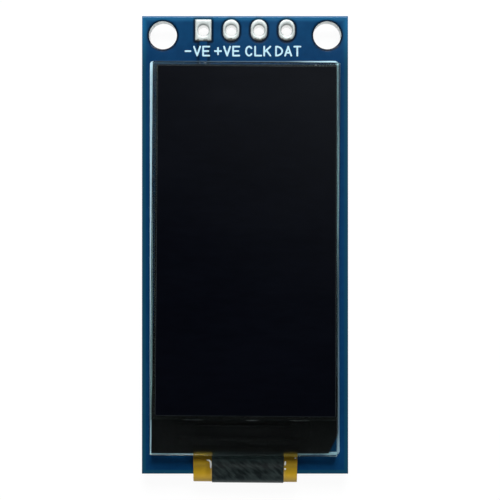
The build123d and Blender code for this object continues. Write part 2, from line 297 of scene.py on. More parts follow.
# Painted finishes: the attribute and the colour it brings, then the same values
paintedFinishes = {
    "glassFibre": ("bareRim", (0.50, 0.50, 0.39), (0.80, 0.83, 0.81), (0.94, 0.96, 0.95), 900, (0.6, 0.8),
                   0.01, {"Subsurface Weight": 1.0, "Subsurface Radius": (1.0, 1.0, 1.0),
                          "Subsurface Scale": 1.2 * mm}, (1, 1, 9)),
    # tinPlate: painted shade darkens the lower rim of each header pad, which faces away from the lamp
    "tinPlate": ("lowRim", (0.10, 0.105, 0.10), (0.34, 0.375, 0.37), (0.50, 0.54, 0.53), 1800, (0.36, 0.50),
                 0.006, {"Metallic": 0.55}),
    # barrelTin: painted shade at the top of the hole wall, painted light deeper down
    "barrelTin": ("deepTin", (0.95, 0.96, 0.95), (0.20, 0.22, 0.21), (0.32, 0.34, 0.33), 2400, (0.22, 0.32),
                  0.008, {"Metallic": 0.95}),
    # printInk: painted shade darkens the panel outline where the panel and the tail shade it
    "printInk": ("thinInk", (0.010, 0.060, 0.110), (0.48, 0.74, 0.88), (0.60, 0.88, 0.98), 5200, (0.55, 0.7),
                 0.004)}
# Finishes with more than one paint: their grain has the same values as a plain finish
maskLook = {"grain": ((0.0030, 0.035, 0.106), (0.0042, 0.047, 0.136), 1500, (0.12, 0.19), 0.004,
                      {"IOR": 1.5, "Specular IOR Level": 0.16}),
            "groove": (0.0012, 0.009, 0.026), "rim": (0.0070, 0.059, 0.113), "thin": (0.0110, 0.126, 0.290)}
cutLook = {"grain": ((0.46, 0.60, 0.58), (0.70, 0.84, 0.82), 2600, (0.25, 0.45), 0,
                     {"IOR": 1.5, "Transmission Weight": 0.85}),
           "smooth": (0.004, 0.006, 0.006), "frost": {"To Min": 0.02, "To Max": 0.4}}
flexLook = {"grain": ((0.39, 0.232, 0.012), (0.56, 0.348, 0.022), 900, (0.2, 0.3), 0.003,
                      {"IOR": 1.5, "Specular IOR Level": 0.1}),
            # paints: painted shade below the glass edge and left of the film, the film's pale adhesive
            # margin, painted light round the fold
            "paints": {"paintedShadeBand": (0.27, 0.152, 0.011), "nearFilm": (0.62, 0.44, 0.20),
                       "paintedFoldLight": (0.76, 0.48, 0.11)},
            "unlit": (0.0035, 0.0035, 0.0035), "filmStart": (0.010, 0.016, 0.018), "dull": 0.9}
coverLook = {"grain": ((0.0030, 0.0058, 0.0062), (0.0085, 0.0132, 0.0138), 2600, (0.36, 0.5), 0,
                       {"IOR": 1.5, "Specular IOR Level": 0.2}),
             "blotch": (0.030, 0.042, 0.041), "ends": (0.055, 0.085, 0.086), "slant": 42,
             "drawn": (1.5, 0.42, 1), "blotchScale": 1.3, "blotchDetail": 3.0,
             "blotchEnds": {"From Min": 0.40, "From Max": 0.64}, "press": 0.02}


def maskFinish():
    # blue solder mask: brighter over copper, nearly black in the gaps, greener along the bare rim,
    # paler with painted light towards the header end and along its edges
    material, tree, shader, grain = grainFinish("solderMask", *maskLook["grain"])
    tint = tintBy(tree, "copper", maskLook["groove"], grain["Color"])
    tint = tintBy(tree, "bareRim", tint, maskLook["rim"])
    feed(tree, shader, {"Base Color": tintBy(tree, "headerLightMask", tint, maskLook["thin"])})
    return material


def cutFinish():
    # scribed glass edge: pale and frosted where the attribute says, dark and smooth elsewhere
    material, tree, shader, grain = grainFinish("cutGlass", *cutLook["grain"])
    pale = attributeOf(tree, "paleCut")
    feed(tree, shader, {"Roughness": mapRange(tree, pale, cutLook["frost"]),
                        "Base Color": mixTint(tree, pale, cutLook["smooth"], grain["Color"])})
    return material


def flexFinish():
    # amber film: black and dull where painted unlit behind the glass, film-coloured where the cover film
    # starts, painted shade just outside the glass and left of the film, paler beside the film, painted light
    # round the fold
    material, tree, shader, grain = grainFinish("amberFlex", *flexLook["grain"])
    tint, lit = grain["Color"], attributeOf(tree, "inLight")
    for name, colour in flexLook["paints"].items():
        tint = tintBy(tree, name, tint, colour)
    tint = tintBy(tree, "filmStart", mixTint(tree, lit, flexLook["unlit"], tint), flexLook["filmStart"])
    dull = mapRange(tree, lit, {"To Min": flexLook["dull"], "To Max": grain["Roughness"]})
    feed(tree, shader, {"Base Color": tint, "Roughness": dull})
    return material


def coverFinish():
    # black cover film, its tint and height in blotches drawn out along a slant, paler at its ends with
    # painted light
    material, tree, shader, grain = grainFinish("coverFilm", *coverLook["grain"])
    along = nodeIn(tree, "ShaderNodeUVMap", uv_map="along").outputs[0]
    slant = {"Vector": along, "Rotation": (0, 0, np.radians(coverLook["slant"])), "Scale": coverLook["drawn"]}
    place = nodeIn(tree, "ShaderNodeMapping", slant, vector_type="TEXTURE").outputs[0]
    blotch = cloudNoise(tree, place, coverLook["blotchScale"], coverLook["blotchDetail"])
    level = mapRange(tree, blotch, coverLook["blotchEnds"])
    tint = mixTint(tree, level, grain["Color"], coverLook["blotch"])
    feed(tree, shader, {"Base Color": tintBy(tree, "paintedLightEnds", tint, coverLook["ends"]),
                        "Normal": bumpOf(tree, blotch, coverLook["press"])})
    return material


finish = {name: grainFinish(name, *values)[0] for name, values in plainFinishes.items()}
finish.update({name: paintedFinish(name, *values) for name, values in paintedFinishes.items()})
finish.update(solderMask=maskFinish(), cutGlass=cutFinish(), amberFlex=flexFinish(), coverFilm=coverFinish())
print("finishes made:", len(finish))

# Frames that the pieces are measured from
boardLow, boardHigh = solidBox("printed_circuit_board")
boardMid, boardHalf = (boardLow + boardHigh) / 2, (boardHigh - boardLow) / 2
boardBack, boardFront = boardLow[2], boardHigh[2]
glassLow, glassHigh = solidBox("display_glass")
panelMid = (glassLow + glassHigh) / 2
panel = {"skew": -0.45, "width": 16.9, "length": 35.5}
panelTurn = np.radians(panel["skew"])
glassEnd = -panel["length"] / 2  # lower edge of the glass, from its middle


def turned(part):  # from the panel's own axes to the row frame: a small turn about the glass's middle
    points, groups = part
    x, y, z = points.T
    c, s = np.cos(panelTurn), np.sin(panelTurn)
    return np.stack([panelMid[0] + c * x - s * y, panelMid[1] + s * x + c * y, z], -1), groups


# Circuit board: a closed plate on one grid, front and back in solder mask, walls bare
board = {"fixingX": 7.5, "fixingFromTop": 1.75, "fixingRadius": 1.275, "fixingPatch": 1.6, "pins": 4,
         "pinPitch": 2.54, "pinFromTop": 1.3, "drillRadius": 0.55, "pinPatch": 0.9, "padHalf": (0.75, 1.0),
         "ringSteps": 6, "finePitch": 0.1, "widePitch": 0.185, "fineBelow": 2.6, "fineAbove": 4.6,
         "grooveDepth": 0.012, "ringGroove": (0.12, 0.24), "ringCorners": [0.02, 0.75, 0.75, 0.75],
         "traceX": -3.81, "traceHalf": 0.36, "traceGap": 0.78, "traceFrom": (0.55, 0.75), "traceBeside": 0.1,
         "traceLine": (0.10, 0.20), "traceSoft": (-0.08, 0.02), "rimWidth": 0.36, "rimSoft": (-0.08, 0.04),
         "rimSink": 0.5, "lightEdge": (0.75, 0), "lightAlong": (5.0, 0.2), "lightTop": 0.12,
         "lightTopAlong": (3.6, 1.5)}
backSide = {"landShift": 0.02, "landHalf": (0.46, 0.4), "landGap": (0.1, 0.24), "trackEdge": (0.12, 0.2),
            "trackGap": (0.28, 0.4), "stripMid": 0.02, "stripPitch": 0.62, "footRun": 1.0, "pinRun": 2.2,
            "feedHigh": 16.2, "feedIn": 1.6, "feedLow": 14.6, "feedBend": 1, "feedEnd": 13.6, "resetRun": 1.9}
fixingY = boardHalf[1] - board["fixingFromTop"]
pinY = boardHalf[1] - board["pinFromTop"]
pinX = (np.arange(board["pins"]) - (board["pins"] - 1) / 2) * board["pinPitch"]
padHalf = board["padHalf"]
lowerChips = ["pump_capacitor_one", "pump_capacitor_two", "logic_capacitor", "panel_capacitor",
              "common_capacitor", "current_resistor"]
chipNames = ["input_capacitor", "output_capacitor", "clock_resistor", "data_resistor", "address_resistor",
             *lowerChips, "reset_capacitor", "reset_resistor"]


def linesBetween(stops, pitches):  # grid lines that include every stop, about a pitch apart
    runs = [np.linspace(a, b, max(2, int(round((b - a) / pitch)) + 1))[:-1]
            for a, b, pitch in zip(stops, stops[1:], pitches)]
    return np.concatenate(runs + [stops[-1:]])


def plateWithHoles(xLines, yLines, holes):
    # straight grid lines; round each hole a square of cells gives way to rings from circle to square
    x, y = np.meshgrid(xLines, yLines)
    points, cells = [np.stack([x, y], -1).reshape(-1, 2)], [gridCells(len(yLines), len(xLines))]
    centre = points[0][cells[0]].mean(1)
    keep = np.ones(len(centre), bool)
    start = len(points[0])
    near, digits = 1e-6, 5  # for the grid lines on a square's own sides, and for points that are the same
    for holeX, holeY, radius, half in holes:
        keep &= np.abs(centre - (holeX, holeY)).max(1) > half
        xs = xLines[np.abs(xLines - holeX) < half + near]
        ys = yLines[np.abs(yLines - holeY) < half + near]
        sides = [(xs[:-1], 0 * xs[:-1] + ys[0]), (0 * ys[:-1] + xs[-1], ys[:-1]),
                 (xs[:0:-1], 0 * xs[:0:-1] + ys[-1]), (0 * ys[:0:-1] + xs[0], ys[:0:-1])]
        square = np.concatenate([np.stack(s, -1) for s in sides]) - (holeX, holeY)
        circle = radius * square / np.linalg.norm(square, axis=1, keepdims=True)
        t = np.linspace(0, 1, board["ringSteps"])[:, None, None]
        points.append(((1 - t) * circle + t * square + (holeX, holeY)).reshape(-1, 2))
        cells.append(gridCells(board["ringSteps"], len(square), wrapCols=True)[:, ::-1] + start)
        start += len(points[-1])
    cells[0] = cells[0][keep]
    points, cells = np.concatenate(points), np.concatenate(cells)
    _, first, same = np.unique(np.round(points, digits), axis=0, return_index=True, return_inverse=True)
    used, cells = np.unique(same.ravel()[cells], return_inverse=True)
    return points[first][used], cells.reshape(-1, 4)


def closedPlate(points, cells, zFront, zBack):
    # the same cells in front and behind, and a wall below every cell edge that has no neighbour
    count = len(points)
    edges = np.concatenate([np.stack([cells[:, k], cells[:, (k + 1) % 4]], -1) for k in range(4)])
    rim = edges[~np.isin(edges[:, 0] * count + edges[:, 1], edges[:, 1] * count + edges[:, 0])]
    walls = np.stack([rim[:, 1], rim[:, 0], rim[:, 0] + count, rim[:, 1] + count], -1)
    both = np.concatenate([np.column_stack([points, zFront]), np.column_stack([points, zBack])])
    return both, [(cells, 0, False), (cells[:, ::-1] + count, 0, False), (walls, 1, True)]


def boxGap(x, y, midX, midY, halfX, halfY, radius=0.0):  # distance outside a rounded rectangle
    qx, qy = np.abs(x - midX) - halfX + radius, np.abs(y - midY) - halfY + radius
    return np.hypot(np.maximum(qx, 0), np.maximum(qy, 0)) + np.minimum(np.maximum(qx, qy), 0) - radius


def lineGap(x, y, ax, ay, bx, by):  # distance from a straight run between two points
    dx, dy = bx - ax, by - ay
    t = np.clip(((x - ax) * dx + (y - ay) * dy) / (dx * dx + dy * dy), 0, 1)
    return np.hypot(x - ax - t * dx, y - ay - t * dy)


def holeGrooves(x, y):  # the copper-free ring round each pad and fixing hole
    fixing = np.hypot(np.abs(x) - board["fixingX"], y - fixingY) - board["fixingRadius"]
    pads = [boxGap(x, y, px, pinY, *padHalf, corner) for px, corner in zip(pinX, board["ringCorners"])]
    return fade(*board["ringGroove"], np.minimum(fixing, np.min(pads, axis=0)))


def frontCopper(x, y):
    # full sheet less the hole grooves and two lines beside the first pad's wide track
    half, (inner, outer), (top, bottom) = board["traceHalf"], board["traceSoft"], board["traceFrom"]
    beside = np.abs(x - board["traceX"])
    below = smoothStep(pinY - top, pinY - bottom, y)
    lines = board["traceGap"] * fade(*board["traceLine"], np.abs(beside - half - board["traceBeside"]))
    groove = np.maximum(holeGrooves(x, y), below * lines)
    return 1 - groove * (1 - below * fade(half + inner, half + outer, beside))


def backCopper(x, y, tracks, lands):
    # full sheet less a gap beside every track and round every land
    toTrack = np.min([lineGap(x, y, *t) for t in tracks], axis=0)
    toLand = np.min([boxGap(x, y, *land) for land in lands], axis=0)
    gap = np.maximum(fade(*backSide["trackGap"], toTrack), fade(*backSide["landGap"], toLand))
    return 1 - np.maximum(gap, holeGrooves(x, y)) * (1 - fade(*backSide["trackEdge"], toTrack))


def chipPlaces():  # each chip's middle and half length, from the board's middle
    boxes = [solidBox(name + "_ends") for name in chipNames]
    return {n: ((a + b) / 2 - boardMid, (b - a) / 2) for n, (a, b) in zip(chipNames, boxes)}


def runsBetween(*points):  # straight runs from each point to the next
    return [(*a, *b) for a, b in zip(points, points[1:])]


def backLayout():
    # short tracks from the tail's strips up to the lower parts, and from the header down to the upper ones
    places = chipPlaces()
    lands = [(m[0], m[1] + side * (h[1] + backSide["landShift"]), *backSide["landHalf"])
             for m, h in places.values() for side in (-1, 1)]
    tailTop = solidBox("flex_solder_joints")[1][1] - boardMid[1]
    tracks = []
    for k, name in enumerate(lowerChips):
        m, h = places[name]
        everyOther = 2 * k + 1 - len(lowerChips)  # solder strips, counted from the middle
        stripX = backSide["stripMid"] + everyOther * backSide["stripPitch"]
        foot = m[1] - h[1] - backSide["footRun"]
        tracks += runsBetween((stripX, tailTop), (stripX, foot - abs(m[0] - stripX)), (m[0], foot),
                              (m[0], m[1] - h[1]))
    for name, x in (("clock_resistor", pinX[2]), ("data_resistor", pinX[3])):
        m, bend = places[name][0], pinY - backSide["pinRun"]
        tracks += runsBetween((x, pinY), (x, bend), (m[0], bend - abs(m[0] - x)), (m[0], m[1]))
    m, x, low = places["input_capacitor"][0], pinX[1], backSide["feedLow"]
    tracks += runsBetween((x, pinY), (x, backSide["feedHigh"]), (x - backSide["feedIn"], low),
                          (m[0] + backSide["feedBend"], low), (m[0], backSide["feedEnd"]), (m[0], m[1]))
    for name, lower in (("reset_capacitor", "pump_capacitor_two"), ("reset_resistor", "common_capacitor")):
        (m, h), (n, g) = places[name], places[lower]
        bend = n[1] + backSide["resetRun"]
        tracks += runsBetween((m[0], m[1] - h[1]), (m[0], bend), (n[0], bend - abs(m[0] - n[0])),
                              (n[0], n[1] + g[1]))
    return tracks, lands


def makeBoard():
    halfX, halfY = boardHalf[:2]
    f, p, fine = board["fixingPatch"], board["pinPatch"], board["finePitch"]
    fixingStops = [side * board["fixingX"] + end for side in (-1, 1) for end in (-f, f)]
    xStops = np.sort(np.concatenate([[-halfX, halfX], fixingStops, pinX - p, pinX + p]))
    yStops = np.array([-halfY, -halfY + board["fineBelow"], halfY - board["fineAbove"], fixingY - f, pinY - p,
                       pinY + p, fixingY + f, halfY])
    xLines = linesBetween(xStops, [fine] * (len(xStops) - 1))
    yLines = linesBetween(yStops, [fine, board["widePitch"]] + [fine] * 5)
    holes = [(s * board["fixingX"], fixingY, board["fixingRadius"], f) for s in (-1, 1)]
    holes += [(x, pinY, board["drillRadius"], p) for x in pinX]
    points, cells = plateWithHoles(xLines, yLines, holes)
    x, y = points.T
    front, back = frontCopper(x, y), backCopper(x, y, *backLayout())
    edge, fromTop = np.minimum(halfX - np.abs(x), halfY - np.abs(y)), halfY - y
    rim = fade(board["rimWidth"] + board["rimSoft"][0], board["rimWidth"] + board["rimSoft"][1], edge)
    # painted light: the mask is paler towards the header end and along the edges there, as that end is lit
    # more
    thin = np.maximum(smoothStep(*board["lightEdge"], edge) * smoothStep(*board["lightAlong"], fromTop),
                      board["lightTop"] * smoothStep(*board["lightTopAlong"], fromTop)) * front
    sunk = [board["grooveDepth"] * (1 - side * (1 - board["rimSink"] * rim)) for side in (front, back)]
    plate = closedPlate(points, cells, boardFront - sunk[0], boardBack + sunk[1])
    plate[0][:, :2] += boardMid[:2]
    putPiece("circuitBoard", plate, ["solderMask", "glassFibre"], ["printed_circuit_board"],
             {"copper": np.concatenate([front, back]), "bareRim": np.concatenate([rim, rim]),
              "headerLightMask": np.concatenate([thin, 0 * thin])})
    print("board made:", len(cells), "cells a side")


makeBoard()

# Plated header holes: tin swells over the pad, turns into the barrel and out over the pad behind
pinPad = {"holeFront": 0.515, "holeBack": 0.45, "barrelRadius": 0.548, "squareCorner": 0.07, "points": 112,
          "reach": [1, 0.99, 0.955, 0.88, 0.74, 0.5, 0.28, 0.12, 0.035, 0.0, 0.0],
          "swell": [0, 0.016, 0.029, 0.040, 0.0475, 0.05, 0.0475, 0.040, 0.026, 0.004, -0.3],
          "shadeFrom": [-0.82, -0.68, -0.70, -0.72], "shadeSoft": 0.12, "shadeWaves": ((0.05, 9), (0.03, 23)),
          "deepFrom": (-0.05, 0.45)}


def headerPad(index):
    # stations run from the pad's rim over the swell into the hole, mirrored behind, then back up the
    # drill wall
    corner = pinPad["squareCorner"] if index == 0 else padHalf[0]
    outline = evenLoop(roundRects(*padHalf, corner)[0], pinPad["points"])
    away = outline / np.linalg.norm(outline, axis=1, keepdims=True)
    reach, swell = np.array(pinPad["reach"]), np.array(pinPad["swell"])
    weight = np.concatenate([reach, reach[::-1], [0, 0]])[:, None, None]
    radii = [pinPad["holeFront"], pinPad["holeBack"], pinPad["barrelRadius"]]
    radius = np.repeat(radii, [len(reach), len(reach), 2])[:, None, None]
    z = np.concatenate([boardFront + swell, boardBack - swell[::-1], [boardBack, boardFront]])
    ring = (1 - weight) * radius * away + weight * outline + boardMid[:2] + (pinX[index], pinY)
    points = atHeights(ring, z).reshape(-1, 3)
    cells = gridCells(len(z), pinPad["points"], wrapRows=True, wrapCols=True).reshape(len(z), -1, 4)
    barrel = slice(len(reach) - 2, len(reach) + 1)  # stations inside the hole
    tin, wall = np.delete(cells, barrel, axis=0).reshape(-1, 4), cells[barrel].reshape(-1, 4)
    x, y = (points[:, :2] - boardMid[:2] - (pinX[index], pinY)).T
    (highA, rateA), (highB, rateB) = pinPad["shadeWaves"]  # the shaded lower rim starts at a ragged line
    ragged = pinPad["shadeFrom"][index] + highA * np.sin(rateA * x + 2 * index)
    ragged = ragged + highB * np.sin(rateB * x + index)
    # painted light down the barrel: dark at the top of the hole, pale deeper in where the floor below lights
    # it
    depth = (boardFront - points[:, 2]) / (boardFront - boardBack)
    # painted shade on the lower rim of the pad, which faces away from the lamp
    painted = {"lowRim": smoothStep(0, pinPad["shadeSoft"], ragged - y) * (points[:, 2] > boardMid[2]),
               "deepTin": smoothStep(*pinPad["deepFrom"], depth)}
    pad = points, [(tin, 0, False), (wall, 1, False)]
    putPiece(f"headerPad{index + 1}", pad, ["tinPlate", "barrelTin"],
             [f"pin_pad_{index + 1}"], painted)


for index in range(board["pins"]):
    headerPad(index)
print("header pads made:", board["pins"])

# White print: the panel's outline and a short word by each header hole
frontPrint = {"line": 0.275, "thick": 0.014, "sink": 0.002, "strokeStep": 0.0015, "roundShare": 0.45,
              "frameHalf": (8.512, 17.845), "frameMid": (-0.034, -1.212), "frameCorner": 0.15, "lean": 0.1,
              "rise": 0.07, "stroke": 0.16, "letterSize": (0.56, 0.82), "advance": 0.83, "baseline": 17.26,
              "words": ["-VE", "+VE", "CLK", "DAT"], "wordStarts": [-5.49, -2.75, 0.09, 2.83],
              "framePoints": 900, "strokePoints": 6, "arcPoints": 28, "endPoints": 7, "endWidth": 0.003}
# Painted shade on the outline's ink, where the panel and the tail shade it, as shares of its half sizes:
# how near a side counts, how dark, from where to where
thinInk = {"onSide": (0.98, 0.995), "top": 0.95, "topFrom": (-0.995, -0.96), "topTo": (0.4, 1.0),
           "right": 0.5, "rightMore": 0.32, "rightFrom": (-0.97, -0.88), "rightTo": (-0.2, 0.2),
           "low": 0.6, "lowFrom": (0.3, 0.5), "lowTo": (0.8, 0.9)}
letterStrokes = {"-": [((0.1, 0.5), (0.9, 0.5))], "+": [((0.0, 0.5), (1, 0.5)), ((0.5, 0.15), (0.5, 0.85))],
                 "V": [((0, 1), (0.5, 0)), ((0.5, 0), (1, 1))],
                 "E": [((0, 0), (0, 1)), ((0, 1), (1, 1)), ((0, 0.5), (0.85, 0.5)), ((0, 0), (1, 0))],
                 "L": [((0, 1), (0, 0)), ((0, 0), (1, 0))],
                 "K": [((0, 0), (0, 1)), ((1, 1), (0.05, 0.42)), ((0.35, 0.6), (1, 0))],
                 "A": [((0, 0), (0.5, 1)), ((0.5, 1), (1, 0)), ((0.2, 0.32), (0.8, 0.32))],
                 "T": [((0, 1), (1, 1)), ((0.5, 1), (0.5, 0))], "D": [((0, 0), (0, 1))]}
letterArcs = {"C": (0.5, 0.5, 40, 320), "D": (0.0, 1.0, -90, 90)}  # middle and reach across, two angles


def printLine(path, width, z, closed=False):
    # a low rounded ribbon along a flat path; at open ends its width follows a half circle
    thick = frontPrint["thick"]
    if closed:
        along = np.roll(path, -1, 0) - np.roll(path, 1, 0)
        narrow = np.ones(len(path))
    else:
        ease = np.cos(np.linspace(0, np.pi / 2, frontPrint["endPoints"]))[:-1, None] * width / 2
        lead, trail = path[0] - path[1], path[-1] - path[-2]
        lead, trail = lead / np.linalg.norm(lead), trail / np.linalg.norm(trail)
        path = np.concatenate([path[0] + ease * lead, path, path[-1] + ease[::-1] * trail])
        along = np.gradient(path, axis=0)
        ends = np.sqrt(np.maximum(1 - (2 * ease[:, 0] / width) ** 2, frontPrint["endWidth"]))
        narrow = np.concatenate([ends, np.ones(len(path) - 2 * len(ends)), ends[::-1]])
    profile = roundRects(width / 2, thick / 2, frontPrint["roundShare"] * thick, steps=3)[0]
    flat = path[:, None] + profile[:, 0, None] * (leftOf(along) * narrow[:, None])[:, None]
    rings = np.concatenate([flat, np.broadcast_to(z + profile[:, 1], flat.shape[:2])[..., None]], -1)
    if closed:
        return rings.reshape(-1, 3), [(gridCells(*rings.shape[:2], wrapRows=True, wrapCols=True), 0, False)]
    return loft(rings)


def wordPrint(word, startX, z):
    # every straight stroke and arc of a letter is its own ribbon
    parts, size = [], np.array(frontPrint["letterSize"])
    for k, letter in enumerate(word):
        corner = np.array([startX + k * frontPrint["advance"], frontPrint["baseline"]]) + boardMid[:2]
        runs = [np.linspace(a, b, frontPrint["strokePoints"]) for a, b in letterStrokes.get(letter, [])]
        if letter in letterArcs:
            middle, reach, first, last = letterArcs[letter]
            turn = np.radians(np.linspace(first, last, frontPrint["arcPoints"]))
            runs.append(np.stack([middle + reach * np.cos(turn), 0.5 + 0.5 * np.sin(turn)], -1))
        parts += [printLine(corner + size * run, frontPrint["stroke"], z + frontPrint["strokeStep"] * n)
                  for n, run in enumerate(runs)]
    return parts


def makeFrontPrint():
    loop = roundRects(*frontPrint["frameHalf"], frontPrint["frameCorner"], steps=8)[0]
    loop = evenLoop(loop, frontPrint["framePoints"])
    u, v = (loop / frontPrint["frameHalf"]).T
    loop[:, 0] -= frontPrint["lean"] * (u + 1) * (v + 1) / 4
    loop[:, 1] += frontPrint["rise"] * (u + 1) * (1 - v) / 4
    z = boardFront + frontPrint["thick"] / 2 - frontPrint["sink"]
    outline = printLine(loop + boardMid[:2] + frontPrint["frameMid"], frontPrint["line"], z, closed=True)
    # painted shade: darker ink along the top, the right side and the low line by the tail
    top = thinInk["top"] * smoothStep(*thinInk["onSide"], v)
    top = top * fade(*thinInk["topTo"], u) * smoothStep(*thinInk["topFrom"], u)
    right = smoothStep(*thinInk["onSide"], u) * fade(*thinInk["rightTo"], v)
    right = right * (thinInk["right"] + thinInk["rightMore"] * smoothStep(*thinInk["rightFrom"], v))
    low = thinInk["low"] * (v < -thinInk["onSide"][0])
    low = low * smoothStep(*thinInk["lowFrom"], u) * fade(*thinInk["lowTo"], u)
    ringSize = len(outline[0]) // len(loop)
    putPiece("panelOutlinePrint", outline, ["printInk"],
             values={"thinInk": np.repeat(np.max([top, right, low], axis=0), ringSize)})
    starts = zip(frontPrint["words"], frontPrint["wordStarts"])
    words = [stroke for word, x in starts for stroke in wordPrint(word, x, z)]
    putPiece("pinWordsPrint", joinParts(words), ["printInk"])
    print("front print made:", len(words), "strokes")


makeFrontPrint()

# Glass panel: clear front glass, dark film set back on it, with the tail's sizes
tail = {"bond": 0.8, "exit": 0.15, "boardEnd": -19.6, "gap": 0.15, "straight": 0.1, "lift": 0.02,
        "thick": 0.08, "backRun": 5.0, "width": 9.45, "offset": 0.17, "filmWidth": 6.53, "filmOffset": 0.235,
        "filmThick": 0.08, "filmGap": 0.05, "filmBackRun": 2.6, "lineSteps": 6001, "samples": 260,
        "columns": 90, "sideSteps": 7}
frontGlass = {"chamfer": 0.004, "corner": 0.05, "airGap": 0.003, "around": 640}
# Pale share of each cut side, what counts as that side, and where the lower and left ones change
cutSides = {"least": 0.1, "near": 0.1, "top": 0.5, "right": 0.8, "left": 0.6, "leftFrom": (-12, -6),
            "lowRight": 0.4, "lowByFilm": (-0.1, 0.15), "lowOverTail": 0.5, "tailSoft": (-0.05, 0.05)}
film = {"left": 0.45, "right": 0.22, "top": 0.38, "ledge": 3.57, "bevel": 0.05, "corner": 0.12, "sink": 0.004,
        "lean": 0.17, "leanShift": -0.15}


def besideFilm(x):  # distance outside the cover film's sides
    return np.abs(x - tail["offset"] - tail["filmOffset"]) - tail["filmWidth"] / 2


def makePanel():
    half = np.array([panel["width"], panel["length"]]) / 2
    low, high = np.array([*-half, glassLow[2] + frontGlass["airGap"]]), np.array([*half, glassHigh[2]])
    rings = blockRings(low, high, frontGlass["corner"], frontGlass["chamfer"], steps=3)
    loops = np.stack([evenLoop(ring[:, :2], frontGlass["around"]) for ring in rings])
    glass = loft(atHeights(loops, rings[:, 0, 2]), (1, 0, 0), True)  # faces polished, cut edge scribed
    x, y, _ = glass[0].T
    near, inside = cutSides["near"], half - cutSides["near"]
    overTail = fade(*cutSides["tailSoft"], np.abs(x - tail["offset"]) - tail["width"] / 2)
    lower = (y < near - half[1]) * smoothStep(*cutSides["lowByFilm"], besideFilm(x))
    lower = lower * np.where(x < 0, 1, cutSides["lowRight"]) * (1 - cutSides["lowOverTail"] * overTail)
    left = cutSides["left"] * (x < near - half[0]) * smoothStep(*cutSides["leftFrom"], y)
    right, top = cutSides["right"] * (x > inside[0]), cutSides["top"] * (y > inside[1])
    pale = np.max([lower, right, left, top, np.full(len(x), cutSides["least"])], axis=0)
    putPiece("frontGlass", turned(glass), ["clearGlass", "cutGlass"], ["display_glass"],
             {"paleCut": pale})
    filmLow, filmHigh = solidBox("polariser_film")
    low = np.array([-half[0] + film["left"], -half[1] + film["ledge"], filmLow[2] - film["sink"]])
    high = np.array([half[0] - film["right"], half[1] - film["top"], filmHigh[2]])
    points, groups = roundBlock(low, high, film["corner"], film["bevel"], (1, 1, 0))  # cut edge paler
    alongFilm = (points[:, 1] - (low[1] + high[1]) / 2) / (high[1] - low[1])  # right side not quite square
    points[:, 0] += film["lean"] * (points[:, 0] > 0) * (film["leanShift"] - alongFilm)
    putPiece("screenFilm", turned((points, groups)), ["screenFilm", "filmEdge"],
             ["polariser_film"])
    print("panel made")


makePanel()

# Mounting tape: a flat sheet, narrower towards the header, one corner cut on a slant
tape = {"leftIn": [0.03, 0.075, 0.31, 0.53], "leftAt": [0, 0.13, 0.39, 1], "rightIn": 0.01, "topRight": 0.13,
        "topInset": 0.02, "cornerX": 0.87, "cornerY": 1.75, "stepFrom": 6.0, "stepTo": 7.0, "clear": 0.003}


def makeTape():
    low, high = solidBox("mounting_tape")
    top = high[1] - tape["topInset"]
    wide, narrow = high[0] - tape["rightIn"], high[0] - tape["topRight"]
    right = [[high[0] - tape["cornerX"], low[1]], [wide, low[1] + tape["cornerY"]],
             [wide, low[1] + tape["stepFrom"]], [narrow, low[1] + tape["stepTo"]], [narrow, top]]
    leftX, leftY = low[0] + np.array(tape["leftIn"]), low[1] + np.array(tape["leftAt"]) * (top - low[1])
    outline = np.concatenate([right, np.column_stack([leftX, leftY])[::-1]])
    rings = atHeights(np.stack([outline] * 2), np.array([low[2], high[2] - tape["clear"]]))
    putPiece("mountingTape", loft(rings, flatSides=True), ["blackTape"], ["mounting_tape"])
    print("mounting tape made")


makeTape()


# Flexible tail: its line is a bend rate along its length, added up twice
def tailLine():
    # level, an S of two arcs, a short level run, half a turn round the board, level behind it
    turn = (boardFront - boardBack + tail["lift"] + tail["thick"]) / 2
    drop = glassLow[2] - tail["thick"] - boardFront - tail["lift"]
    foldY = tail["boardEnd"] - tail["gap"]
    slopeStart, slopeEnd = glassEnd - tail["exit"], foldY + tail["straight"]
    angle = 2 * np.arctan2(drop, slopeStart - slopeEnd)
    bend = (slopeStart - slopeEnd) / (2 * np.sin(angle))
    lengths = [tail["bond"] + tail["exit"], bend * angle, bend * angle, tail["straight"], np.pi * turn,
               tail["gap"] + tail["backRun"]]
    rates = np.array([0, 1 / bend, -1 / bend, 0, 1 / turn, 0])
    stops = np.cumsum([0] + lengths)
    s = np.linspace(0, stops[-1], tail["lineSteps"])
    step = s[1]
    heading = np.cumsum(rates[np.clip(np.searchsorted(stops, s, side="right") - 1, 0, len(rates) - 1)]) * step
    y = glassEnd + tail["bond"] - np.concatenate([[0], np.cumsum(np.cos(heading))[:-1]]) * step
    z = glassLow[2] - tail["thick"] / 2 - np.concatenate([[0], np.cumsum(np.sin(heading))[:-1]]) * step
    return s, y, z, heading


tailPath = tailLine()
tailLength = tailPath[0][-1]
foldStart = tailLength - tail["backRun"] - tail["gap"] - np.pi / 2 * (boardFront - boardBack + tail["thick"])
# Where along and across the tail each colour comes and goes, and its share
tailPaint = {"covered": (-0.12, 0.02), "deepFrom": 0.05, "deepTo": 0.12, "deepPower": 4.2, "past": (0.1, 0.2),
             "start": (0.42, 0.62), "brownFrom": 1.25, "goldLeft": 1.68, "goldRight": 1.85,
             "besideShare": 0.5, "beside": (0.3, 0.75), "nearShare": 0.4, "near": (0.03, 0.2),
             "nearFrom": (1.8, 2.2), "fold": (-0.3, 0.8), "behind": (1.2, 2.0), "shadeShare": 0.45,
             "shade": (1.0, 1.6), "filmFoldShare": 0.8, "filmFold": (0.0, 1.0)}


def onTail(across, along, out):  # points at a distance outside the tail's line
    y, z, heading = (np.interp(along, tailPath[0], values) for values in tailPath[1:])
    return np.stack(np.broadcast_arrays(across, y - np.sin(heading) * out, z + np.cos(heading) * out), -1)


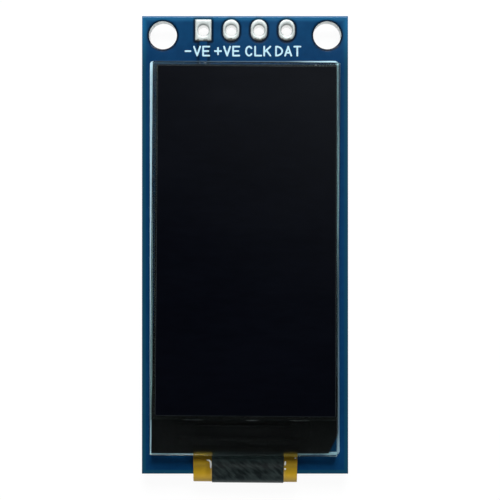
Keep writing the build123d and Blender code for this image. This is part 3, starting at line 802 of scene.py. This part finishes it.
def tailSheet(first, last, inner, outer, width, middle):
    # a thin rounded strip carried along the tail's line at a distance outside it
    along = np.linspace(first, last, tail["samples"])[:, None]
    thick = outer - inner
    lift = 0.5 * thick * np.sin(np.linspace(-np.pi / 2, np.pi / 2, tail["sideSteps"]))
    bulge = width / 2 - 0.5 * thick + np.sqrt(np.maximum(0.25 * thick ** 2 - lift ** 2, 0))
    columns = np.linspace(-1, 1, tail["columns"])[1:-1] * (width / 2 - 0.5 * thick)
    across = np.concatenate([bulge, columns[::-1], -bulge[::-1], columns]) + middle
    out = np.concatenate([lift, 0 * columns + thick / 2, lift[::-1], 0 * columns - thick / 2])
    uv = np.stack(np.broadcast_arrays(across, along), -1).reshape(-1, 2)
    return loft(onTail(across, along, out + (inner + outer) / 2)), uv


def makeTail():
    half, bond = tail["thick"] / 2, tail["bond"]
    part, uv = tailSheet(0, tailLength, -half, half, tail["width"], tail["offset"])
    x, s = uv.T
    fromFilm, left = besideFilm(x), x < tail["offset"]
    covered = fade(*tailPaint["covered"], fromFilm)
    # painted light and shade: black where unlit behind the glass, lighter towards the glass edge where light
    # comes in
    deep = smoothStep(tailPaint["deepFrom"], bond + tailPaint["deepTo"], s) ** tailPaint["deepPower"]
    past = smoothStep(bond + tailPaint["past"][0], bond + tailPaint["past"][1], s)
    ahead = fade(*tailPaint["behind"], s - foldStart)
    # painted light round the fold, which turns away from the lamp
    fold = smoothStep(*tailPaint["fold"], s - foldStart) * ahead
    # painted shade: a browner band just below the glass edge, and on the left beside the film
    goldFrom = np.where(left, tailPaint["goldLeft"], tailPaint["goldRight"])
    beside = tailPaint["besideShare"] * left * fade(*tailPaint["beside"], fromFilm) * (1 - fold) * ahead
    nearFilm = tailPaint["nearShare"] * fade(*tailPaint["near"], fromFilm)
    painted = {"inLight": np.maximum(deep * (1 - covered), past), "paintedFoldLight": fold,
               "nearFilm": nearFilm * smoothStep(*tailPaint["nearFrom"], s) * ahead,
               "filmStart": covered * smoothStep(*tailPaint["start"], s) * (1 - past),
               "paintedShadeBand": np.maximum(past * fade(tailPaint["brownFrom"], goldFrom, s), beside)}
    putPiece("amberTail", turned(part), ["amberFlex"], ["flex_tail"], painted, uv)
    part, uv = tailSheet(bond + tail["filmGap"], tailLength - tail["backRun"] + tail["filmBackRun"], half,
                         half + tail["filmThick"], tail["filmWidth"], tail["offset"] + tail["filmOffset"])
    s = uv[:, 1]
    # painted light: paler film just below the glass where shade falls, and round the fold as a painted
    # reflection
    fold = smoothStep(*tailPaint["filmFold"], s - foldStart) * fade(*tailPaint["behind"], s - foldStart)
    shade = tailPaint["shadeShare"] * fade(*tailPaint["shade"], s)
    putPiece("tailCoverFilm", turned(part), ["coverFilm"], ["flex_cover_film"],
             {"paintedLightEnds": np.maximum(shade, tailPaint["filmFoldShare"] * fold)}, uv)
    print("tail made, length", round(tailLength, 2))


makeTail()

# Beads of glue beside the cover film's upper corners, coloured white as a painted highlight for the glints
# off them, as (across, along) paths on the tail
glue = {"paths": [[[-3.36, 1.30], [-3.14, 1.33], [-2.98, 1.47], [-2.95, 1.80], [-2.97, 2.26]],
                  [[3.81, 1.36], [3.79, 1.55], [3.77, 1.84]], [[3.80, 2.14], [3.78, 2.34]],
                  [[4.70, 1.02], [4.72, 1.12]]],
        "width": 0.17, "rise": 0.07, "sink": 0.004, "lift": 0.1, "swellPower": 3, "endWidth": 0.004,
        "steps": 40, "around": 16}


def glueBead(path):
    # a half-round bead whose width and height swell from its ends, laid on the tail's outer face
    centre = evenSteps(np.array(path), glue["steps"])
    left = leftOf(np.gradient(centre, axis=0))
    fromMiddle = np.abs(np.linspace(-1, 1, glue["steps"]))[:, None]
    swell = np.sqrt(np.maximum(1 - fromMiddle ** glue["swellPower"], glue["endWidth"]))
    turn = np.linspace(0, 2 * np.pi, glue["around"], endpoint=False)
    flat = centre[:, None] + (glue["width"] / 2 * swell * np.cos(turn))[..., None] * left[:, None]
    out = tail["thick"] / 2 - glue["sink"] + glue["rise"] * swell * (np.sin(turn) + glue["lift"])
    return loft(onTail(flat[..., 0], flat[..., 1], out))


putPiece("glueBeads", turned(joinParts([glueBead(path) for path in glue["paths"]])), ["glintWhiteGlue"])

# Chips along the cut edges of the glass: low flakes at (x, y, z) with half lengths across, on the panel's
# axes, their width in two waves along them
flakes = {"places": [[-4.55, -14.62, 2.90, 0.95], [0.75, -14.62, 2.90, 0.60], [5.05, -14.62, 2.90, 0.95],
                     [-4.20, 17.60, 3.64, 0.10], [-3.75, 17.63, 3.64, 0.12], [6.25, 17.50, 3.64, 0.10]],
          "halfY": 0.035, "halfZ": 0.02, "even": 0.75, "uneven": 0.25, "waves": (17, 29), "shift": 40,
          "tip": 0.99, "along": 36, "around": 12}


def glassChip(x, y, z, half):
    # a long flattened ball, ragged along its length
    turn = np.linspace(0, 2 * np.pi, flakes["around"], endpoint=False)
    tip = np.linspace(-flakes["tip"], flakes["tip"], flakes["along"])[:, None]
    wave = np.sin(flakes["waves"][0] * tip + flakes["shift"] * x) * np.sin(flakes["waves"][1] * tip)
    ragged = np.sqrt(1 - tip ** 2) * (flakes["even"] + flakes["uneven"] * wave)
    return loft(np.stack(np.broadcast_arrays(x + half * tip, y + flakes["halfY"] * ragged * np.cos(turn),
                                             z + flakes["halfZ"] * ragged * np.sin(turn)), -1))


putPiece("glassChips", turned(joinParts([glassChip(*place) for place in flakes["places"]])), ["chippedGlass"])
print("glue beads and glass chips made")

# Solder strips that join the tail to the board behind
strip = {"count": 14, "pitch": 0.62, "width": 0.36, "onTail": 0.8, "onBoard": 0.7, "rise": 0.12,
         "swellPower": 0.7, "sink": 0.004, "sideHeight": 0.25, "sideFall": 0.98, "along": 15, "across": 13}


def solderStrip(x, tailEnd):
    # side outline: swells over the tail's end, eases down to the board; its height rounds off towards
    # the sides
    t, u = np.linspace(0, 1, strip["along"]), np.linspace(-1, 1, strip["across"])[:, None]
    tailFace = boardBack - tail["thick"]
    overTail = tailFace - strip["rise"] * np.sin(np.pi / 2 * t) ** strip["swellPower"]
    down = boardBack - (tail["thick"] + strip["rise"]) * (0.5 + 0.5 * np.cos(np.pi * t))
    y = np.concatenate([tailEnd - strip["onTail"] * (1 - t), tailEnd + strip["onBoard"] * t[1:]])
    seat = np.where(y <= tailEnd, tailFace, boardBack) + strip["sink"]
    crown = strip["sideHeight"] + (1 - strip["sideHeight"]) * np.sqrt(1 - strip["sideFall"] * u * u)
    outer = seat - (seat - np.concatenate([overTail, down[1:]])) * crown
    y, z = np.concatenate([y, y[::-1]]), np.concatenate([outer, np.broadcast_to(seat[::-1], outer.shape)], 1)
    return loft(np.stack(np.broadcast_arrays(x + u * strip["width"] / 2, y, z), -1))


def makeStrips():
    tailEnd = tail["boardEnd"] + tail["backRun"]
    places = tail["offset"] + (np.arange(strip["count"]) - (strip["count"] - 1) / 2) * strip["pitch"]
    strips = joinParts([solderStrip(x, tailEnd) for x in places])
    putPiece("tailSolder", turned(strips), ["solderTin"], ["flex_solder_joints"])
    print("solder strips made:", strip["count"])


makeStrips()

# Chip parts behind the board: rounded ceramic between tinned ends, with a hollow fillet at each end
chip = {"band": 0.34, "endRound": 0.07, "bodyRound": 0.035, "bodyCorner": 0.05}
fillet = {"overhang": 0.4, "lip": 0.03, "sink": 0.004, "hollow": 2.2, "sideFall": 0.96, "cornerFall": 0.18,
          "along": 11, "across": 15, "chipFoot": 0.04, "chipClimb": 0.6, "chipWidth": 0.92, "chipUnder": 0.12}
regulator = {"levels": [-1, -0.97, -0.9, -0.3, -0.03, 0.03, 0.3, 0.9, 0.97, 1.0],
             "rounding": [1, 0.4, 0, 0, 0, 0, 0, 0, 0.4, 1], "round": 0.06, "draft": 0.061, "corner": 0.08,
             "leadPitch": 1.9, "toe": 0.62, "climb": 0.16, "landWidth": 0.7, "under": 0.3}


def solderFillet(foot, way, climb, width, under):
    # side outline hollow from the wall down to the land, its height falling off towards both sides
    t, u = np.linspace(0, 1, fillet["along"]), np.linspace(-1, 1, fillet["across"])[:, None]
    outward, side = np.array([0.0, way]), np.array([-way, 0.0])
    hollow = fillet["lip"] + (climb - fillet["lip"]) * (1 - t) ** fillet["hollow"]
    along = np.concatenate([[-under], fillet["overhang"] * t, [fillet["overhang"], -under]])
    height = np.concatenate([[climb], hollow, [-fillet["sink"], -fillet["sink"]]])
    raised = np.where(height > 0, height * np.sqrt(1 - fillet["sideFall"] * u ** 4), height)
    reach = along * (1 - fillet["cornerFall"] * u ** 4 * (along > 0))
    flat = np.array(foot) + reach[..., None] * outward + (u * width / 2)[..., None] * side
    return loft(np.concatenate([flat, (boardBack - raised)[..., None]], -1))


def makeChips():
    fillets = []
    for name in chipNames:
        low, high = solidBox(name + "_ends")
        piece, capacitor = name.replace("_", "-"), "capacitor" in name
        # a resistor is printed black on the face away from the board, white ceramic on the sides
        inner = roundBlock(*solidBox(name + "_body"), chip["bodyCorner"], chip["bodyRound"],
                           (0, 0, 0) if capacitor else (1, 0, 1))
        putPiece(piece + "-body", inner, ["capacitorClay"] if capacitor else ["resistorInk", "alumina"],
                 [name + "_body"])
        near, far = high.copy(), low.copy()
        near[1], far[1] = low[1] + chip["band"], high[1] - chip["band"]
        ends = [roundBlock(*box, chip["endRound"], chip["endRound"]) for box in ((low, near), (far, high))]
        putPiece(piece + "-ends", joinParts(ends), ["tinPlate"], [name + "_ends"])
        climb = fillet["chipFoot"] + fillet["chipClimb"] * (high[2] - low[2])
        middle = (low[0] + high[0]) / 2
        fillets += [solderFillet((middle, y), way, climb, fillet["chipWidth"], fillet["chipUnder"])
                    for y, way in ((low[1], -1), (high[1], 1))]
    return fillets


def makeRegulator():
    # drafted block: widest at the plane of the leads, narrowing to both faces
    low, high = solidBox("regulator_body")
    mid, half = (low + high) / 2, (high - low) / 2
    z = np.array(regulator["levels"])
    inset = regulator["draft"] * np.abs(z) + regulator["round"] * np.array(regulator["rounding"])
    loops = roundRects(half[0] - inset, half[1] - inset, regulator["corner"])
    rings = atHeights(loops + mid[:2], mid[2] + half[2] * z)
    putPiece("regulator-body", loft(rings), ["mouldedBlack"], ["regulator_body"])
    reach, beside = half[1] + regulator["toe"], regulator["leadPitch"] / 2
    feet = [(mid[0], mid[1] - reach, -1)] + [(mid[0] + x, mid[1] + reach, 1) for x in (-beside, beside)]
    return [solderFillet((x, y), way, regulator["climb"], regulator["landWidth"], regulator["under"])
            for x, y, way in feet]


solderFillets = makeChips() + makeRegulator()
putPiece("partSolder", joinParts(solderFillets), ["solderTin"], ["component_solder"])
print("parts behind the board made:", len(chipNames) + 1)

# Print behind the board: a plain bracket at both ends of every part
backPrint = {"line": 0.15, "clear": 0.62, "halfX": 0.62, "arm": 0.5, "points": 5}


def makeBackPrint():
    lines, halfX = [], backPrint["halfX"]
    z = boardBack - frontPrint["thick"] / 2 + frontPrint["sink"]
    for m, h in chipPlaces().values():
        for side in (-1, 1):
            y = m[1] + side * (h[1] + backPrint["clear"])
            arm = y - side * backPrint["arm"]
            ends = np.array([[-halfX, arm], [-halfX, y], [halfX, y], [halfX, arm]]) + (m[0], 0) + boardMid[:2]
            runs = [np.linspace(a, b, backPrint["points"]) for a, b in zip(ends, ends[1:])]
            lines += [printLine(run, backPrint["line"], z - frontPrint["strokeStep"] * n)
                      for n, run in enumerate(runs)]
    putPiece("partOutlinePrint", joinParts(lines), ["printInk"])
    print("back print made:", len(lines), "strokes")


makeBackPrint()

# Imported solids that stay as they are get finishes
keptFinishes = {"cap_glass": "sealGlass", "desiccant_sheet": "dryingSheet", "pixel_matrix": "pixelFilm",
                "driver_chip": "siliconDie", "shade_tape": "blackTape", "regulator_leads": "tinPlate"}
for node, name in keptFinishes.items():
    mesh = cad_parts[node].data
    mesh.materials.clear()
    mesh.materials.append(finish[name])
print("packed solids finished:", len(keptFinishes))

# Floor: white to the camera, glass and metal, a plain pale surface for everything else. Its size and the
# lamp's are in metres.
studio = {"floorSize": 3.0, "floorGrey": (0.86, 0.86, 0.86, 1), "glow": 0.9, "floorWhite": 1.05,
          "lampPlace": (0.006, 0.150, 0.185), "lampSize": 0.11, "lampPower": 0.56,
          "skyTint": (0.88, 0.97, 1.0, 1), "upward": {"From Max": 0.75, "To Min": 1.0, "To Max": 0.02},
          "sideways": {"From Min": -0.8, "To Min": 0.9}, "glowToward": (0.3, 0.6, 1.0),
          "glowSpread": {"From Min": 0.743, "From Max": 0.985}, "glowLevel": 0.3}


def makeFloor():
    half = studio["floorSize"] / 2
    mesh = bpy.data.meshes.new("floor")
    corners = [(-half, -half, 0), (half, -half, 0), (half, half, 0), (-half, half, 0)]
    mesh.from_pydata(corners, [], [(0, 1, 2, 3)])
    floor = newObject("floor", mesh)
    material = bpy.data.materials.new("paleFloor")
    material.use_nodes = True
    tree = material.node_tree
    tree.nodes.clear()
    ray = nodeIn(tree, "ShaderNodeLightPath").outputs
    seen = mathOf(tree, "MAXIMUM", ray["Is Camera Ray"], ray["Is Glossy Ray"])
    seen = mathOf(tree, "MAXIMUM", seen, ray["Is Transmission Ray"])
    share = mathOf(tree, "MULTIPLY", seen, studio["glow"])
    plain = nodeIn(tree, "ShaderNodeBsdfDiffuse", {"Color": studio["floorGrey"]}).outputs[0]
    white = nodeIn(tree, "ShaderNodeEmission", {"Color": (1, 1, 1, 1), "Strength": studio["floorWhite"]})
    mix = nodeIn(tree, "ShaderNodeMixShader", {0: share, 1: plain, 2: white.outputs[0]})
    nodeIn(tree, "ShaderNodeOutputMaterial", {"Surface": mix.outputs[0]})
    mesh.materials.append(material)


def makeLight():
    # a soft lamp beyond the header end, and a sky that darkens upwards, dims to one side and has one glow
    lamp = bpy.data.lights.new("softLamp", "AREA")
    lamp.energy, lamp.size = studio["lampPower"], studio["lampSize"]
    holder, place = newObject("softLamp", lamp), studio["lampPlace"]
    holder.location = place
    holder.rotation_euler = (-np.arctan2(place[1], place[2]), np.arctan2(place[0], place[2]), 0)
    world = bpy.data.worlds.new("softSky")
    bpy.context.scene.world = world
    world.use_nodes = True
    tree = world.node_tree
    way = nodeIn(tree, "ShaderNodeTexCoord").outputs["Generated"]
    parts = nodeIn(tree, "ShaderNodeSeparateXYZ", {0: way}).outputs
    upward = mapRange(tree, parts["Z"], studio["upward"], "SMOOTHSTEP")
    sideways = mapRange(tree, parts["Y"], studio["sideways"], "SMOOTHSTEP")
    toward = np.array(studio["glowToward"]) / np.linalg.norm(studio["glowToward"])
    near = nodeIn(tree, "ShaderNodeVectorMath", {0: way, 1: toward}, operation="DOT_PRODUCT").outputs["Value"]
    patch = mapRange(tree, near, studio["glowSpread"], "SMOOTHSTEP")
    glow = mathOf(tree, "MULTIPLY", mathOf(tree, "MULTIPLY", patch, patch), studio["glowLevel"])
    total = mathOf(tree, "ADD", mathOf(tree, "MULTIPLY", upward, sideways), glow)
    feed(tree, tree.nodes["Background"], {"Strength": total, "Color": studio["skyTint"]})


# Camera: straight above, its foot a little right of and below the board's middle
camera = {"height": 105.0, "frameWidth": 45.62, "aim": (0.453, -0.485), "tilt": 0.25, "sensor": 36.0,
          "clipStart": 0.001, "clipEnd": 10}


def makeCamera():
    data = bpy.data.cameras.new("viewCamera")
    data.sensor_width = camera["sensor"]
    data.lens = camera["sensor"] * camera["height"] / camera["frameWidth"]
    data.clip_start, data.clip_end = camera["clipStart"], camera["clipEnd"]
    holder = newObject("viewCamera", data)
    tilt = np.radians(camera["tilt"])
    aim = np.array([boardMid[0] + camera["aim"][0], boardMid[1] + camera["aim"][1], boardFront])
    holder.location = (aim + camera["height"] * np.array([0, -np.sin(tilt), np.cos(tilt)])) * mm
    holder.rotation_euler = (tilt, 0, 0)
    bpy.context.scene.camera = holder


makeFloor()
makeLight()
makeCamera()
bpy.context.scene.view_settings.view_transform = "Standard"
print("stage, light and camera made")
